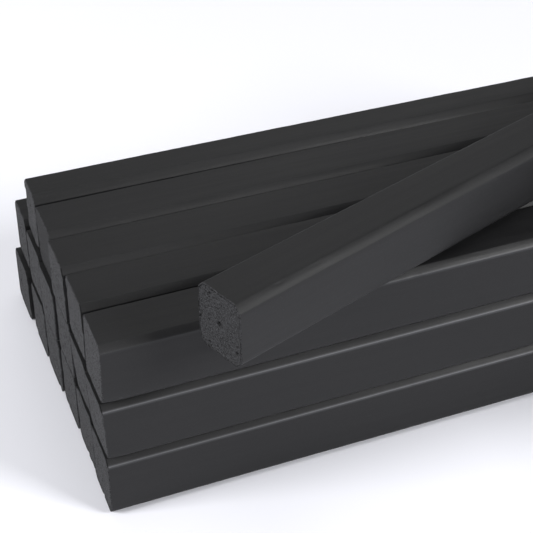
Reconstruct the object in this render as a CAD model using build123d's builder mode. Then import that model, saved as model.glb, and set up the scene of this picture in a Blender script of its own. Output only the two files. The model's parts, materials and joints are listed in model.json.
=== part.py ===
"""A set of square charcoal drawing sticks: a stack three layers high, with one stick lying askew on top.

+X runs along the stacked sticks, +Y from the front of the stack to its rear, +Z up, in millimetres.
The origin is the centre of the underside of the third bottom stick, on the surface that the set rests on.
"""

from build123d import *
from math import cos, radians, sin
import os

# One stick: a straight bar with its four long edges bevelled and its ends cut square.
STICK_LENGTH = 100.0
STICK_WIDTH = 7.3
STICK_HEIGHT = 8.0
LONG_BEVEL = 0.8
BEVEL_SOFTNESS = 0.25
END_BREAK = 0.12

# The stack: sticks side by side at a small clearance, each layer resting on the one below.
COLUMN_PITCH = 7.55
ORIGIN_COLUMN = 3
LAYERS = ("bottom", "middle", "top")
STICKS_IN_LAYER = {"bottom": 6, "middle": 6, "top": 5}

# How far each layer is pushed towards the rear.
LAYER_SHIFT = {"bottom": 0.3, "middle": 0.1, "top": 0.0}

# How unevenly the sticks were laid, from the front column to the rear one.
# End shift is towards +X, side shift is towards +Y.
END_SHIFT = {
    "bottom": (-0.2, 0.0, 0.0, -0.1, -0.15, -0.3),
    "middle": (-0.25, -0.1, 0.05, -0.15, 0.1, 0.3),
    "top": (-0.1, 0.15, 0.0, 0.4, 0.5),
}
SIDE_SHIFT = {
    "bottom": (0.15, 0.05, 0.0, 0.0, -0.05, 0.9),
    "middle": (0.05, -0.05, 0.0, 0.0, 0.05, 0.9),
    "top": (-0.1, 0.05, -0.05, 0.0, 0.75),
}

# The front and rear top sticks are turned a little, closing up towards the far end.
TURN_DEGREES = {"top_stick_1": 0.12, "top_stick_5": -0.45}

# Three sticks are slimmer than the rest, and two of those have broader bevels.
OWN_WIDTH = {"middle_stick_6": 6.4, "top_stick_5": 6.0, "crossing_stick": 6.8}
OWN_BEVEL = {"top_stick_5": 1.0, "crossing_stick": 0.95}

# The loose stick: its near end hangs out in front of the stack, and it lies flat on the top layer.
CROSSING_END_FROM_STACK_END = 12.5
CROSSING_OVERHANG = 9.2
CROSSING_TURN_DEGREES = 20.3

os.makedirs("parts", exist_ok=True)


def end_plane(corner, turn):
    """The plane of a stick's near end, with its lower front corner at corner and local x to the rear."""
    along = (cos(turn), sin(turn), 0)
    across = (-sin(turn), cos(turn), 0)
    return Plane(origin=corner, x_dir=across, z_dir=along)


def make_stick(name, corner, turn_degrees):
    """Model one stick from its near end and write it as its own node."""
    width = OWN_WIDTH.get(name, STICK_WIDTH)
    bevel = OWN_BEVEL.get(name, LONG_BEVEL)
    with BuildPart() as stick:
        with BuildSketch(end_plane(corner, radians(turn_degrees))) as section:
            Rectangle(width, STICK_HEIGHT, align=(Align.MIN, Align.MIN))
            chamfer(section.vertices(), bevel)
            fillet(section.vertices(), BEVEL_SOFTNESS)
        extrude(amount=STICK_LENGTH)
        faces_by_x = stick.faces().sort_by(Axis.X)
        chamfer(faces_by_x[0].edges() + faces_by_x[-1].edges(), END_BREAK)
    stick.part.label = name
    export_step(stick.part, f"parts/{name}.step")


stack_front = (1 - ORIGIN_COLUMN) * COLUMN_PITCH - STICK_WIDTH / 2 - LAYER_SHIFT["bottom"]
stack_near_end = -STICK_LENGTH / 2

# The stacked sticks, numbered from the front.
for level, layer in enumerate(LAYERS):
    for column in range(STICKS_IN_LAYER[layer]):
        name = f"{layer}_stick_{column + 1}"
        x = stack_near_end + END_SHIFT[layer][column]
        y = stack_front + column * COLUMN_PITCH + LAYER_SHIFT[layer] + SIDE_SHIFT[layer][column]
        make_stick(name, (x, y, level * STICK_HEIGHT), TURN_DEGREES.get(name, 0.0))

# The loose stick across the top.
crossing_corner = (
    stack_near_end + CROSSING_END_FROM_STACK_END,
    stack_front - CROSSING_OVERHANG,
    len(LAYERS) * STICK_HEIGHT,
)
make_stick("crossing_stick", crossing_corner, CROSSING_TURN_DEGREES)
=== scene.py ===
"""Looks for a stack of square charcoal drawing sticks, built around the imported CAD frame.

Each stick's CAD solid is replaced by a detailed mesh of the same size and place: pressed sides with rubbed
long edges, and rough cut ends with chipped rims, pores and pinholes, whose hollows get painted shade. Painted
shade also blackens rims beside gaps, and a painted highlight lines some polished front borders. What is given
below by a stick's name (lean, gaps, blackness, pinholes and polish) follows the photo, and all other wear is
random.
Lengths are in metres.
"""

import json
from itertools import product
from math import cos, pi, radians, sin, sqrt

import bpy
import numpy as np
from mathutils import Matrix, Vector
from mathutils.geometry import delaunay_2d_cdt


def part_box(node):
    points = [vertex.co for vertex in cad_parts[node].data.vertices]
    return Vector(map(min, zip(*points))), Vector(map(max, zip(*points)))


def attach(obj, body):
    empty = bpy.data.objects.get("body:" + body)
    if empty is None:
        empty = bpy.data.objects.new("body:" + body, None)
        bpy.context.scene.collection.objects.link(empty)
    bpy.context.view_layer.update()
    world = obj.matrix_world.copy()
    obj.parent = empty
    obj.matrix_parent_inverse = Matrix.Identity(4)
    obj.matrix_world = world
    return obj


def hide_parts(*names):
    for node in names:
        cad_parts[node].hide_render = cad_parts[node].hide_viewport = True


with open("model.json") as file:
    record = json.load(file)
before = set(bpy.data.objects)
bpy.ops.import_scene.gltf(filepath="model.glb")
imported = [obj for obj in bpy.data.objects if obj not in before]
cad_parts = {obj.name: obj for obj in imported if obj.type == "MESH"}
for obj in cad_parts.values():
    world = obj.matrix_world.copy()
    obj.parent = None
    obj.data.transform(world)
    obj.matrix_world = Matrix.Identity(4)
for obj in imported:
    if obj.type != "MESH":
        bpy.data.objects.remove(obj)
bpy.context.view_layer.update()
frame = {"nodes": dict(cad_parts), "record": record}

MM = 0.001

# Camera: a long lens in front of the stack and beyond its near end. Angles are in degrees, the lens in mm.
CAMERA_PLACE = (-0.0738, -0.1363, 0.1168)
CAMERA_YAW, CAMERA_PITCH, CAMERA_ROLL = 21.60, 32.45, -0.62
CAMERA_LENS = 98.1
CAMERA_SHIFT = (-0.063, -0.125)

# A stick's section and ends.
BORDER_RADIUS = 0.25 * MM       # softening where a bevel meets a face, as in the CAD
SOFT_BORDERS = {"crossing_stick": 0.5 * MM}     # sticks whose borders are rounder than that
RIM_RADIUS = 0.125 * MM         # rounding of a cut end's rim
FACE_STEP = 0.28 * MM           # spacing of points round the flat faces
BEVEL_STEP = 0.13 * MM          # spacing of points round the bevels
ARC_STEPS = 4                   # points round one softened border
LENGTH_STEP = 0.6 * MM          # spacing of points along the stick, between its ends
RIM_STATIONS = np.array((0, 0.025, 0.06, 0.125, 0.2, 0.34, 0.6, 1.0)) * MM  # closer ones, from each end
CUT_STEP = 0.085 * MM           # spacing of points over a cut end
CUT_JITTER = 0.3                # how far those points are moved at random, in spacings
CUT_MARGIN = 0.17 * MM          # how far inside the rim those points start
CUT_POINTS_SEED = 17
FLAT_TOLERANCE = 0.01 * MM      # points this close to the CAD's highest count as its flat top

# A 45 degree bevel. Moving the outline in by one unit shortens the bevel's legs by BEVEL_SHRINK, and rounding
# its border by a radius takes BEVEL_TANGENT of that radius off each side of the border.
BEVEL_SHRINK = 2 - sqrt(2)
BEVEL_TANGENT = sqrt(2) - 1

# Wear and roughness, all cut into the stick and never built up on it.
# A RANGE gives the noise values at which a feature starts and is full, and a STRETCH draws it out lengthwise.
FACE_WAVE, FACE_WAVE_CELL, FACE_WAVE_STRETCH = 0.02 * MM, 6 * MM, (0.35, 1, 1)
SKIN_GRAIN, SKIN_GRAIN_CELL = 0.006 * MM, 0.5 * MM
EDGE_RUB, EDGE_RUB_CELL, EDGE_RUB_STRETCH = 0.05 * MM, 1.4 * MM, (0.5, 1, 1)
EDGE_RUB_WIDTH = 0.16 * MM      # how far from a border the rubbing reaches
NICK, NICK_CELL, NICK_RANGE = 1.6, 0.9 * MM, (0.62, 0.95)    # NICK is its depth, times EDGE_RUB
RIM_CHIP, RIM_CHIP_CELL, RIM_CHIP_RANGE = 0.11 * MM, 0.9 * MM, (0.1, 0.9)
RIM_CHIP_REACH = 0.45 * MM      # how far inside the rim a chip ends
CUT_WAVE, CUT_WAVE_CELL = 0.05 * MM, 1.6 * MM
CUT_GRAIN, CUT_GRAIN_CELL = 0.03 * MM, 0.2 * MM
CUT_FULL = 0.3 * MM             # how far inside the rim a cut end is fully rough
CUT_CARRY = 1.0 * MM            # how far along the sides the rim follows the cut's unevenness
PORE_DEPTH, PORE_CELL, PORE_RANGE = 0.05 * MM, 0.24 * MM, (0.55, 0.85)
# Painted shade in the pores: how much darker a pore's hollow is painted.
PORE_PAINTED_SHADE = 0.35
CUT_SLANT = 0.1 * MM            # how far out of square an end may be cut, over the whole section
SLANT_SEED = 100
END_NOISE_STEP = 0.013          # how far each cut end lies from the next one in the noise

# How pale the borders are worn: all along, where rubbed more, and the strength of the whole.
WEAR_EVEN, WEAR_UNEVEN, WEAR_STRENGTH = 0.1, 0.3, 0.3

# Near ends whose cut leans: how far the top lies back from the bottom.
# A negative lean says how far the bottom lies back from the top.
NEAR_LEAN = {"top_stick_1": 0.3 * MM, "middle_stick_1": -0.28 * MM, "middle_stick_2": -0.26 * MM}

# Near ends worn on their underside, which opens a gap over the layer below.
NEAR_UNDERCUT = {
    "top_stick_1": 0.30 * MM,
    "top_stick_2": 0.28 * MM,
    "top_stick_4": 0.12 * MM,
    "top_stick_5": 0.18 * MM,
    "middle_stick_1": 0.30 * MM,
    "middle_stick_2": 0.28 * MM,
    "middle_stick_5": 0.12 * MM,
    "middle_stick_6": 0.26 * MM,
}
# Near ends worn on their rear side, which opens a gap to the next column.
NEAR_SIDE_WEAR = {
    "top_stick_1": 0.18 * MM,
    "top_stick_2": 0.10 * MM,
    "middle_stick_5": 0.10 * MM,
    "bottom_stick_5": 0.05 * MM,
}
WORN_LENGTH = 2.5 * MM          # how far from the near end that wear reaches
WORN_DEPTH = 1.6 * MM           # and how far into the stick from the worn side
LAYER_ABOVE = {"bottom": "middle", "middle": "top"}
# Painted shade: the rim beside an open gap is painted black where shade falls in the gap.
GAP_PAINTED_SHADE = 1.0              # how black the rim beside a gap is
GAP_SHADE_AT_END = 0.6               # the share of that where the rim meets the end face
GAP_SHADE_REACH = 1.1 * RIM_RADIUS   # how far along the stick the black goes
GAP_FACING = 0.5                # rim points turned within 60 degrees of a gap get it (the cosine)

# Near ends blacker than the rest, from 0 (like the others) to 1 (as black as a pore), and a smoother one.
# top_stick_4's darker end is its own colour; the crossing stick's is painted shade, as its end faces the
# light less than the others.
DARK_AND_SHADED_NEAR_ENDS = {"top_stick_4": 0.6, "crossing_stick": 0.2}
SMOOTH_NEAR_ENDS = ("top_stick_4",)
SMOOTH_DEPTH = 0.6              # how deep a smoother end's unevenness is, as a share of the others'

# Pinholes in the near ends that face the viewer: how far from the front face and from the underside,
# as shares of the stick's width and height, and the radius.
NEAR_PINHOLES = {
    "crossing_stick": [
        (0.50, 0.51, 0.30 * MM),
        (0.11, 0.24, 0.21 * MM),
        (0.71, 0.90, 0.18 * MM),
        (0.76, 0.11, 0.18 * MM),
        (0.96, 0.44, 0.22 * MM),
    ],
    "top_stick_1": [(0.47, 0.55, 0.15 * MM)],
    "middle_stick_1": [(0.42, 0.62, 0.13 * MM)],
    "bottom_stick_1": [(0.40, 0.62, 0.12 * MM)],
}
PINHOLE_DEPTH = 2.4             # times its radius
PINHOLE_WALL = (0.55, 1.1)      # where its floor ends and its lip is, times its radius
PINHOLE_RAGGEDNESS = 0.25       # how much its radius varies
# The pinholes of the other ends: how many (fewer than the second number), where, and their radius in mm.
RANDOM_PINHOLES, RANDOM_PLACES, RANDOM_RADII = (2, 5), (0.2, 0.8), (0.08, 0.17)

# Sticks whose upper front border is polished, with a painted highlight along it: how much at the near end and
# beyond its middle. The pale line is painted highlight that grows along the stick; the polish also lowers the
# roughness there.
POLISH_AND_PAINTED_HIGHLIGHT = {"middle_stick_1": (0.75, 1.0), "bottom_stick_1": (0.75, 1.0), "top_stick_1": (0.12, 0.6)}
POLISH_AND_HIGHLIGHT_WIDTH = 0.11 * MM

# Greys of the materials, from 0 to 1, all with the same faint blue cast.
BLUE_CAST = (1, 1.005, 1.07)
SKIN_GREYS = (0.0095, 0.0135)
# The last of these greys is a painted highlight on polished borders.
STREAK_GREY, DUST_GREY, WORN_GREY, PAINTED_HIGHLIGHT_GREY = 0.016, 0.03, 0.05, 0.17
CUT_GREYS = (0.015, 0.027)
# The darkest grey is painted shade in pores, pinholes, hollows and beside gaps, and also top_stick_4's own
# dark end.
CRUMB_GREY, SHADE_AND_DARK_END_GREY = 0.06, 0.004
FLOOR_GREYS = (0.86, 0.88)
SKIN_SPECULAR, CUT_SPECULAR, FLOOR_ROUGHNESS = 0.3, 0.2, 0.9

# Light: the soft fill from all round, and each softbox's direction (degrees from +X towards +Y, degrees up),
# side and power in watts.
FILL = 0.12
SOFTBOXES = {
    "left": ((180, 25), 0.4, 12.6),
    "right": ((-50, 30), 0.3, 7.8),
    "rear": ((68, 35), 0.5, 0.62),
    "overhead": ((60, 85), 0.5, 1.7),
    "strip": ((-70, 8), 0.12, 0.3),
}
SOFTBOX_DISTANCE = 1.0
SOFTBOX_TARGET = (0, 0, 0.01)   # the point that they face, low in the stack
FLOOR_SIZE = 6

# Large odd numbers that scramble a noise cell's place and the seed.
HASH_X, HASH_Y, HASH_Z, HASH_SEED, HASH_MIX = 73856093, 19349663, 83492791, 2654435761, 1274126177


def smooth_step(low, high, x):
    """Rises smoothly from 0 at low to 1 at high."""
    t = np.clip((x - low) / (high - low), 0, 1)
    return t * t * (3 - 2 * t)


def noise(points, cell, seed):
    """Smooth random values from -1 to 1 that change over a distance of one cell."""
    scaled = points / cell
    base = np.floor(scaled).astype(np.int64)
    part = scaled - base
    part = part * part * (3 - 2 * part)
    total = np.zeros(len(points))
    for corner in product((0, 1), repeat=3):
        x, y, z = (base + corner).T
        mixed = (x * HASH_X) ^ (y * HASH_Y) ^ (z * HASH_Z) ^ (seed * HASH_SEED)
        mixed = ((mixed ^ (mixed >> 13)) * HASH_MIX) & 0xFFFFFFFF
        value = ((mixed ^ (mixed >> 16)) & 0xFFFF) / 32767.5 - 1
        weight = np.prod(np.where(corner, part, 1 - part), axis=1)
        total += weight * value
    return total


def gap_directions(name):
    """The sides (across, up) on which a stick's near end borders an open gap."""
    layer, _, number = name.partition("_stick_")
    if not number:
        return []
    sides = [
        ((0, -1), name in NEAR_UNDERCUT),
        ((0, 1), f"{LAYER_ABOVE.get(layer)}_stick_{number}" in NEAR_UNDERCUT),
        ((1, 0), name in NEAR_SIDE_WEAR),
        ((-1, 0), f"{layer}_stick_{int(number) - 1}" in NEAR_SIDE_WEAR),
    ]
    return [side for side, is_open in sides if is_open]


class Stick:
    """Where one CAD stick is, by its mesh: the centre of its near end, its own axes, and its sizes."""

    def __init__(self, name):
        self.name = name
        mesh = frame["nodes"][name].data
        points = np.zeros(len(mesh.vertices) * 3)
        mesh.vertices.foreach_get("co", points)
        points = points.reshape(-1, 3)
        low, high = (np.array(corner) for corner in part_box(name))
        far = points[:, 0] > (low[0] + high[0]) / 2
        along = points[far].mean(0) - points[~far].mean(0)
        along[2] = 0
        self.along = along / np.linalg.norm(along)
        self.up = np.array((0.0, 0.0, 1.0))
        self.across = np.cross(self.up, self.along)
        own = np.stack([points @ self.along, points @ self.across, points @ self.up], 1)
        own_low, own_high = own.min(0), own.max(0)
        self.length, self.width, self.height = own_high - own_low
        self.start = own_low[0]
        self.middle = (own_low + own_high)[1:] / 2
        top = own[own[:, 2] > own_high[2] - FLAT_TOLERANCE]
        flat = top[:, 1].max() - top[:, 1].min()
        self.bevel = (self.width - flat) / 2 - BORDER_RADIUS * BEVEL_TANGENT
        self.border = SOFT_BORDERS.get(name, BORDER_RADIUS)

    def place(self, own):
        """Turns (along, across, up) from the near end's centre into the row frame."""
        return (
            np.outer(own[:, 0] + self.start, self.along)
            + np.outer(own[:, 1] + self.middle[0], self.across)
            + np.outer(own[:, 2] + self.middle[1], self.up)
        )


def section(stick, inset=0.0):
    """The bevelled outline, seen from the near end.

    Gives its points, their outward normals, and how close each is to a bevel's border.
    """
    radius = stick.border
    # The corners that the rounding goes round: a across, b up, and bevels with legs of c.
    a = stick.width / 2 - radius - inset
    b = stick.height / 2 - radius - inset
    c = stick.bevel - BEVEL_SHRINK * radius - BEVEL_SHRINK * inset
    corners = np.array([
        (a, c - b), (a, b - c), (a - c, b), (c - a, b),
        (-a, b - c), (-a, c - b), (c - a, -b), (a - c, -b),
    ])
    points, normals, edge = [], [], []
    for side in range(8):
        angle = side * pi / 4
        normal = np.array((cos(angle), sin(angle)))
        start, end = corners[side], corners[(side + 1) % 8]
        run = np.linalg.norm(end - start)
        # The side's length without the inset, so that every outline of a stick has as many points.
        full_run = run + 2 * inset * BEVEL_TANGENT
        step = BEVEL_STEP if side % 2 else FACE_STEP
        count = max(2, round(full_run / step))
        for i in range(count):
            share = i / count
            points.append(start + (end - start) * share + radius * normal)
            normals.append(normal)
            near = min(share, 1 - share) * full_run
            edge.append(np.exp(-((near / EDGE_RUB_WIDTH) ** 2)))
        for i in range(ARC_STEPS):
            turn = angle + pi / 4 * i / ARC_STEPS
            turned = np.array((cos(turn), sin(turn)))
            points.append(end + radius * turned)
            normals.append(turned)
            edge.append(1.0)
    return np.array(points), np.array(normals), np.array(edge)


def stations(length):
    """Places along the stick, closer together at its two rims."""
    last = RIM_STATIONS[-1]
    inner = np.linspace(last, length - last, round(length / LENGTH_STEP))
    return np.concatenate([RIM_STATIONS[:-1], inner, (length - RIM_STATIONS[:-1])[::-1]])


def to_rim(along):
    """For each run between two stations, 1 where it belongs to a cut end's rim and 0 along the side."""
    middle = (along[:-1] + along[1:]) / 2
    return (np.minimum(middle, along[-1] - middle) < RIM_RADIUS).astype(np.int32)


def inside_distance(stick, flat):
    """How far each point of a cut end is inside the outline."""
    a, b = stick.width / 2, stick.height / 2
    t, z = np.abs(flat).T
    return np.minimum(np.minimum(a - t, b - z), (a + b - stick.bevel - t - z) / sqrt(2))


cut_meshes = {}


def cut_mesh(stick):
    """Interior points of a cut end and the triangles over its rim points and them, kept for sticks alike."""
    key = tuple(round(size / MM, 3) for size in (stick.width, stick.height, stick.bevel, stick.border))
    if key in cut_meshes:
        return cut_meshes[key]
    rim = section(stick, RIM_RADIUS)[0]
    random = np.random.default_rng(CUT_POINTS_SEED)
    columns = np.arange(-stick.width / 2, stick.width / 2, CUT_STEP)
    rows = np.arange(-stick.height / 2, stick.height / 2, CUT_STEP)
    grid = np.array(list(product(columns, rows)))
    grid = grid + random.uniform(-CUT_JITTER, CUT_JITTER, grid.shape) * CUT_STEP
    grid = grid[inside_distance(stick, grid) > RIM_RADIUS + CUT_MARGIN]
    together = [Vector(p) for p in np.concatenate([rim, grid]) / MM]
    edges = [(i, (i + 1) % len(rim)) for i in range(len(rim))]
    inside_only, tolerance = 1, 1e-6
    _, _, found_faces, origins, _, _ = delaunay_2d_cdt(together, edges, [], inside_only, tolerance)
    first = [origin[0] for origin in origins]
    faces = [tuple(first[v] for v in face) for face in found_faces]
    cut_meshes[key] = (grid, faces)
    return cut_meshes[key]


def pinholes(stick, seed, near):
    """(across, up, radius) of the pinholes in one cut end."""
    if near and stick.name in NEAR_PINHOLES:
        holes = NEAR_PINHOLES[stick.name]
    else:
        random = np.random.default_rng(seed)
        holes = [
            (*random.uniform(*RANDOM_PLACES, 2), random.uniform(*RANDOM_RADII) * MM)
            for _ in range(random.integers(*RANDOM_PINHOLES))
        ]
    return [((u - 0.5) * stick.width, (v - 0.5) * stick.height, r) for u, v, r in holes]


def cut_depth(stick, flat, seed, near):
    """How deep each point of a cut end lies below its plane, and how black it is painted: painted shade in
    pores and pinholes, and the darker near ends' black.
    """
    spot = np.column_stack([np.full(len(flat), seed * END_NOISE_STEP), flat])
    inside = inside_distance(stick, flat)
    chip = RIM_CHIP * smooth_step(*RIM_CHIP_RANGE, noise(spot, RIM_CHIP_CELL, 11))
    depth = chip * (1 - smooth_step(0, RIM_CHIP_REACH, inside - RIM_RADIUS))
    body = smooth_step(0, CUT_FULL, inside - RIM_RADIUS)
    depth += body * CUT_WAVE * (0.5 + 0.5 * noise(spot, CUT_WAVE_CELL, 12))
    depth += body * CUT_GRAIN * (0.5 + 0.5 * noise(spot, CUT_GRAIN_CELL, 13))
    pore = body * smooth_step(*PORE_RANGE, noise(spot, PORE_CELL, 14))
    depth += PORE_DEPTH * pore
    # Painted shade in the pores.
    dark = PORE_PAINTED_SHADE * pore
    random = np.random.default_rng(SLANT_SEED + seed)
    lean, turn = random.uniform(0, CUT_SLANT, 2)
    if near and stick.name in NEAR_LEAN:
        lean = NEAR_LEAN[stick.name]
    rise = flat[:, 1] / stick.height + 0.5
    depth += abs(lean) * (rise if lean > 0 else 1 - rise) + turn * (flat[:, 0] / stick.width + 0.5)
    # Darker near ends: top_stick_4's own colour, and painted shade on the crossing stick's end.
    if near:
        dark = np.maximum(dark, DARK_AND_SHADED_NEAR_ENDS.get(stick.name, 0))
    if near and stick.name in SMOOTH_NEAR_ENDS:
        return depth * SMOOTH_DEPTH, np.full(len(flat), DARK_AND_SHADED_NEAR_ENDS[stick.name])
    for t, z, radius in pinholes(stick, seed, near):
        away = np.hypot(flat[:, 0] - t, flat[:, 1] - z)
        ragged = radius * (1 + PINHOLE_RAGGEDNESS * noise(spot, radius, 15))
        hole = 1 - smooth_step(*PINHOLE_WALL, away / ragged)
        depth += PINHOLE_DEPTH * radius * hole
        # Painted shade: each pinhole's hollow is painted black.
        dark = np.maximum(dark, hole)
    return depth, dark


def ends(number):
    """For the near end and then the far end of one stick: whether it is the near one, and its seed."""
    return (True, 2 * number), (False, 2 * number + 1)


def polish_and_highlight_strength(stick, s, to_corner):
    """How much the upper front border is polished and painted with a highlight at each point."""
    near_polish_and_highlight, far_polish_and_highlight = POLISH_AND_PAINTED_HIGHLIGHT.get(stick.name, (0, 0))
    growth = smooth_step(0, stick.length / 2, s)
    return (near_polish_and_highlight + (far_polish_and_highlight - near_polish_and_highlight) * growth) * np.exp(-((to_corner / POLISH_AND_HIGHLIGHT_WIDTH) ** 2))


def pressed_sides(stick, number):
    """The sides, in rings from the near end: points, (wear, polish with painted highlight, painted shade
    beside gaps), faces, and the faces' slots.
    """
    outline, normals, edge = section(stick)
    along = stations(stick.length)
    rings, around = len(along), len(outline)
    s = np.repeat(along, around)
    flat = np.tile(outline, (rings, 1))
    outward = np.tile(normals, (rings, 1))
    border = np.tile(edge, rings)
    # In the noise, each stick lies a metre from the next, so that no two are alike.
    spot = np.column_stack([s + number, flat])

    wave = FACE_WAVE * (0.5 + 0.5 * noise(spot * FACE_WAVE_STRETCH, FACE_WAVE_CELL, 1))
    grain = SKIN_GRAIN * (0.5 + 0.5 * noise(spot, SKIN_GRAIN_CELL, 2))
    coarse_rub = noise(spot * EDGE_RUB_STRETCH, EDGE_RUB_CELL, 3)
    rub_noise = 0.5 + 0.3 * coarse_rub + 0.2 * noise(spot, EDGE_RUB_CELL / 4, 4)
    nick = smooth_step(*NICK_RANGE, noise(spot, NICK_CELL, 5))
    rub = border * EDGE_RUB * (rub_noise + NICK * nick)
    to_end = np.minimum(s, stick.length - s)
    round_in = np.clip(RIM_RADIUS - to_end, 0, RIM_RADIUS)
    rim = RIM_RADIUS - np.sqrt(RIM_RADIUS**2 - round_in**2)
    flat = flat - outward * (wave + grain + rub + rim)[:, None]

    near_half = s < stick.length / 2
    for near, seed in ends(number):
        side = near_half == near
        depth, _ = cut_depth(stick, flat[side], seed, near)
        fade = np.clip(1 - to_end[side] / CUT_CARRY, 0, 1) ** 2
        s[side] += depth * fade * (1 if near else -1)

    wear = np.clip(border * (WEAR_EVEN + WEAR_UNEVEN * rub_noise + nick) * WEAR_STRENGTH, 0, 1)
    front_corner = np.array((-stick.width / 2, stick.height / 2 - stick.bevel))
    to_corner = np.tile(np.linalg.norm(outline - front_corner, axis=1), rings)
    polish_and_highlight = polish_and_highlight_strength(stick, s, to_corner)

    # Painted shade: rim points facing an open gap are painted black.
    gap_shade = np.zeros(len(s))
    for gap in gap_directions(stick.name):
        gap_shade[outward @ np.array(gap) > GAP_FACING] = GAP_PAINTED_SHADE
    gap_shade[:around] *= GAP_SHADE_AT_END
    gap_shade[~near_half | (to_end > GAP_SHADE_REACH)] = 0

    ring = np.arange(around)
    quads = []
    for i in range(rings - 1):
        a, b = i * around + ring, i * around + (ring + 1) % around
        quads.append(np.column_stack([a, a + around, b + around, b]))
    material_slots = np.repeat(to_rim(along), around)
    return np.column_stack([s, flat]), (wear, polish_and_highlight, gap_shade), np.concatenate(quads), material_slots


def cut_ends(stick, number, total, around):
    """Points of both cut ends, how black they are painted (painted shade and darker ends), and the triangles
    that join them to the sides' points.

    The sides come first in the mesh, with total points in rings of around points.
    """
    grid, faces = cut_mesh(stick)
    points, end_shade_and_darkness, triangles = [], [], []
    ring = np.arange(around)
    first_rings = (0, total - around)
    for (near, seed), first_ring in zip(ends(number), first_rings):
        depth, dark = cut_depth(stick, grid, seed, near)
        place = depth if near else stick.length - depth
        points.append(np.column_stack([place, grid]))
        end_shade_and_darkness.append(dark)
        index = np.concatenate([first_ring + ring, total + np.arange(len(grid))])
        cut = index[np.array(faces)]
        triangles.append(cut[:, ::-1] if near else cut)
        total += len(grid)
    return np.concatenate(points), np.concatenate(end_shade_and_darkness), np.concatenate(triangles)


def open_gaps(stick, own):
    """Wears the near end's underside and rear side back, in place, where a gap opens beside them."""
    worn_length = np.clip(1 - own[:, 0] / WORN_LENGTH, 0, 1) ** 2
    worn_below = 1 - smooth_step(0, WORN_DEPTH, own[:, 2] + stick.height / 2)
    worn_behind = 1 - smooth_step(0, WORN_DEPTH, stick.width / 2 - own[:, 1])
    own[:, 2] += NEAR_UNDERCUT.get(stick.name, 0) * worn_length * worn_below
    own[:, 1] -= NEAR_SIDE_WEAR.get(stick.name, 0) * worn_length * worn_behind


def build_stick(stick, number):
    """The detailed mesh of one stick, with its own coordinates, wear, polish with a painted highlight, and
    painted shade in pores and beside gaps as attributes.

    Material slot 0 is the pressed skin and slot 1 the cut end with its rim.
    """
    side_points, (wear, polish_and_highlight, gap_shade), quads, side_slots = pressed_sides(stick, number)
    around = len(section(stick)[0])
    end_points, end_shade_and_darkness, triangles = cut_ends(stick, number, len(side_points), around)
    own = np.concatenate([side_points, end_points])
    open_gaps(stick, own)

    mesh = bpy.data.meshes.new(stick.name + "_visual")
    polygons = [tuple(q) for q in quads.tolist()] + [tuple(t) for t in triangles.tolist()]
    mesh.from_pydata(stick.place(own).tolist(), [], polygons)
    slots = np.ones(len(polygons), dtype=np.int32)
    slots[:len(quads)] = side_slots
    mesh.polygons.foreach_set("material_index", slots)
    mesh.shade_smooth()
    coordinates = mesh.attributes.new("stick_place", "FLOAT_VECTOR", "POINT")
    coordinates.data.foreach_set("vector", (own + (number, 0, 0)).astype(np.float32).ravel())
    clean = np.zeros(len(end_points))
    for label, on_sides, on_ends in (("wear", wear, clean), ("polish_and_highlight", polish_and_highlight, clean), ("shade_and_dark_end", gap_shade, end_shade_and_darkness)):
        layer = mesh.attributes.new(label, "FLOAT", "POINT")
        layer.data.foreach_set("value", np.concatenate([on_sides, on_ends]).astype(np.float32))
    mesh.update()
    piece = bpy.data.objects.new(stick.name + "_visual", mesh)
    bpy.context.scene.collection.objects.link(piece)
    return piece


class Nodes:
    """Short calls for building one material's node tree."""

    def __init__(self, name):
        self.material = bpy.data.materials.new(name)
        self.material.use_nodes = True
        self.tree = self.material.node_tree
        self.shader = self.tree.nodes["Principled BSDF"]

    def add(self, kind, **settings):
        node = self.tree.nodes.new(kind)
        for key, value in settings.items():
            setattr(node, key, value)
        return node

    def link(self, source, target):
        self.tree.links.new(source, target)

    def attribute(self, name):
        return self.add("ShaderNodeAttribute", attribute_name=name)

    def stretched(self, scale):
        """The stick's own coordinates, stretched along, across and up."""
        mapping = self.add("ShaderNodeMapping")
        mapping.inputs["Scale"].default_value = scale
        self.link(self.attribute("stick_place").outputs["Vector"], mapping.inputs["Vector"])
        return mapping.outputs["Vector"]

    def noise(self, scale, stretch=(1, 1, 1), detail=3.0, roughness=0.55):
        node = self.add("ShaderNodeTexNoise")
        node.inputs["Scale"].default_value = scale
        node.inputs["Detail"].default_value = detail
        node.inputs["Roughness"].default_value = roughness
        self.link(self.stretched(stretch), node.inputs["Vector"])
        return node.outputs["Fac"]

    def range(self, value, low, high, to_low, to_high):
        """Maps low..high onto to_low..to_high and goes no further at either end."""
        node = self.add("ShaderNodeMapRange")
        for key, number in (("From Min", low), ("From Max", high), ("To Min", to_low), ("To Max", to_high)):
            node.inputs[key].default_value = number
        self.link(value, node.inputs["Value"])
        return node.outputs["Result"]

    def math(self, operation, a, b):
        node = self.add("ShaderNodeMath", operation=operation)
        for socket, value in zip(node.inputs, (a, b)):
            if isinstance(value, (int, float)):
                socket.default_value = value
            else:
                self.link(value, socket)
        return node.outputs["Value"]

    def blend(self, factor, a, b):
        """Mixes two colours, each a grey that gets the blue cast, or a socket."""
        node = self.add("ShaderNodeMix", data_type="RGBA")
        self.link(factor, node.inputs["Factor"])
        for socket, value in ((node.inputs["A"], a), (node.inputs["B"], b)):
            if isinstance(value, float):
                socket.default_value = (*(value * part for part in BLUE_CAST), 1)
            else:
                self.link(value, socket)
        return node.outputs["Result"]

    def bump(self, height, distance, strength=1.0, under=None):
        node = self.add("ShaderNodeBump")
        node.inputs["Distance"].default_value = distance
        node.inputs["Strength"].default_value = strength
        self.link(height, node.inputs["Height"])
        if under is not None:
            self.link(under, node.inputs["Normal"])
        return node.outputs["Normal"]


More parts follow.
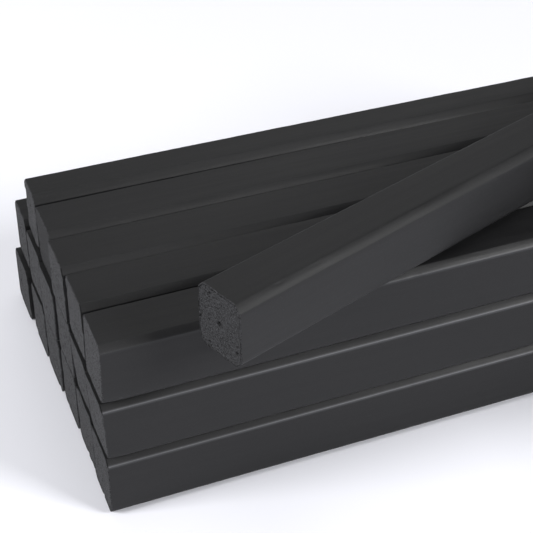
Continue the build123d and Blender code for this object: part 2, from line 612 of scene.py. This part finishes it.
def skin_material():
    """Pressed sides: dense near-black with a faint graphite sheen, streaked lengthwise and dusted, with a
    painted highlight on polished borders.
    """
    n = Nodes("charcoal_skin")
    cloud = n.range(n.noise(220, (0.4, 1, 1)), 0.3, 0.7, 0, 1)
    streak = n.range(n.noise(900, (0.03, 1, 1), 2.0), 0.35, 0.65, 0, 1)
    speck = n.range(n.noise(5200, (1, 1, 1), 1.0), 0.62, 0.74, 0, 1)
    colour = n.blend(cloud, *SKIN_GREYS)
    colour = n.blend(n.math("MULTIPLY", streak, 0.3), colour, STREAK_GREY)
    colour = n.blend(n.math("MULTIPLY", speck, 0.3), colour, DUST_GREY)
    worn = n.range(n.attribute("wear").outputs["Fac"], 0.1, 1, 0, 0.8)
    colour = n.blend(worn, colour, WORN_GREY)
    # Painted highlight: polished borders are painted a pale grey, and their roughness drops.
    polish_and_highlight = n.math("MULTIPLY", n.attribute("polish_and_highlight").outputs["Fac"], n.range(speck, 0, 1, 0.85, 1.0))
    colour = n.blend(polish_and_highlight, colour, PAINTED_HIGHLIGHT_GREY)
    n.link(colour, n.shader.inputs["Base Color"])
    rough = n.math("ADD", n.range(streak, 0, 1, 0.48, 0.56), n.range(cloud, 0, 1, -0.04, 0.06))
    n.link(n.math("SUBTRACT", rough, n.range(polish_and_highlight, 0, 1, 0, 0.12)), n.shader.inputs["Roughness"])
    n.shader.inputs["Specular IOR Level"].default_value = SKIN_SPECULAR
    fine = n.bump(n.noise(3800, (0.5, 1, 1), 4.0), 0.00002, 0.5)
    n.link(n.bump(n.noise(1500, (0.04, 1, 1), 2.0), 0.00003, 0.3, fine), n.shader.inputs["Normal"])
    return n.material


def cut_material():
    """Cut ends: matt, paler and mottled, with painted shade in pores, hollows, pinholes and beside gaps."""
    n = Nodes("charcoal_cut")
    mottle = n.range(n.noise(1500, detail=4.0, roughness=0.65), 0.32, 0.68, 0, 1)
    crumb = n.range(n.noise(7000, detail=2.0, roughness=0.6), 0.4, 0.62, 0, 1)
    hollow_shade = n.range(n.noise(5600, detail=1.0), 0.33, 0.45, 1, 0)
    colour = n.blend(mottle, *CUT_GREYS)
    colour = n.blend(crumb, colour, CRUMB_GREY)
    # Painted shade: dark specks stand for tiny hollows that the mesh lacks.
    colour = n.blend(hollow_shade, colour, SHADE_AND_DARK_END_GREY)
    # Painted shade in pores, pinholes and beside gaps, and the darker near ends' black.
    colour = n.blend(n.attribute("shade_and_dark_end").outputs["Fac"], colour, SHADE_AND_DARK_END_GREY)
    n.link(colour, n.shader.inputs["Base Color"])
    n.link(n.range(crumb, 0, 1, 0.78, 0.92), n.shader.inputs["Roughness"])
    n.shader.inputs["Specular IOR Level"].default_value = CUT_SPECULAR
    coarse = n.bump(mottle, 0.00008, 0.6)
    n.link(n.bump(crumb, 0.00008, 0.9, coarse), n.shader.inputs["Normal"])
    return n.material


def add_sticks():
    """Replaces every CAD stick by its detailed mesh, which rides the same body."""
    materials = (skin_material(), cut_material())
    bodies = frame["record"]["behaviour"]["bodies"]
    body_of = {node: body for body, nodes in bodies.items() for node in nodes}
    for number, name in enumerate(sorted(frame["nodes"])):
        piece = build_stick(Stick(name), number)
        for material in materials:
            piece.data.materials.append(material)
        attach(piece, body_of[name])
        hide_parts(name)


def add_camera():
    """Yaw turns the view from +Y towards +X, pitch looks down, roll turns it about the view axis."""
    data = bpy.data.cameras.new("camera")
    data.lens = CAMERA_LENS
    data.shift_x, data.shift_y = CAMERA_SHIFT
    camera = bpy.data.objects.new("camera", data)
    bpy.context.scene.collection.objects.link(camera)
    turn = (
        Matrix.Rotation(radians(-CAMERA_YAW), 4, "Z")
        @ Matrix.Rotation(radians(90 - CAMERA_PITCH), 4, "X")
        @ Matrix.Rotation(radians(CAMERA_ROLL), 4, "Z")
    )
    camera.matrix_world = Matrix.Translation(CAMERA_PLACE) @ turn
    bpy.context.scene.camera = camera


def add_floor():
    """A wide white floor under the sticks."""
    bpy.ops.mesh.primitive_plane_add(size=FLOOR_SIZE)
    floor = bpy.context.object
    floor.name = "floor"
    n = Nodes("floor")
    tone = n.range(n.noise(3.0), 0.3, 0.7, 0, 1)
    n.link(n.blend(tone, *FLOOR_GREYS), n.shader.inputs["Base Color"])
    n.shader.inputs["Roughness"].default_value = FLOOR_ROUGHNESS
    floor.data.materials.append(n.material)


def add_softbox(name, direction, side, power):
    """A square area light that faces the target from a direction."""
    around, up = (radians(angle) for angle in direction)
    towards = Vector((cos(up) * cos(around), cos(up) * sin(around), sin(up)))
    data = bpy.data.lights.new(name, "AREA")
    data.size = side
    data.energy = power
    light = bpy.data.objects.new(name, data)
    bpy.context.scene.collection.objects.link(light)
    light.location = towards * SOFTBOX_DISTANCE + Vector(SOFTBOX_TARGET)
    light.rotation_euler = towards.to_track_quat("Z", "Y").to_euler()


def add_lights():
    """A little white fill from all round, and the softboxes, strongest at the left and the right."""
    world = bpy.data.worlds.new("world")
    bpy.context.scene.world = world
    world.use_nodes = True
    background = world.node_tree.nodes["Background"]
    background.inputs["Color"].default_value = (1, 1, 1, 1)
    background.inputs["Strength"].default_value = FILL
    for name, (direction, side, power) in SOFTBOXES.items():
        add_softbox(name, direction, side, power)


add_camera()
add_floor()
add_lights()
add_sticks()
bpy.context.scene.view_settings.view_transform = "Standard"
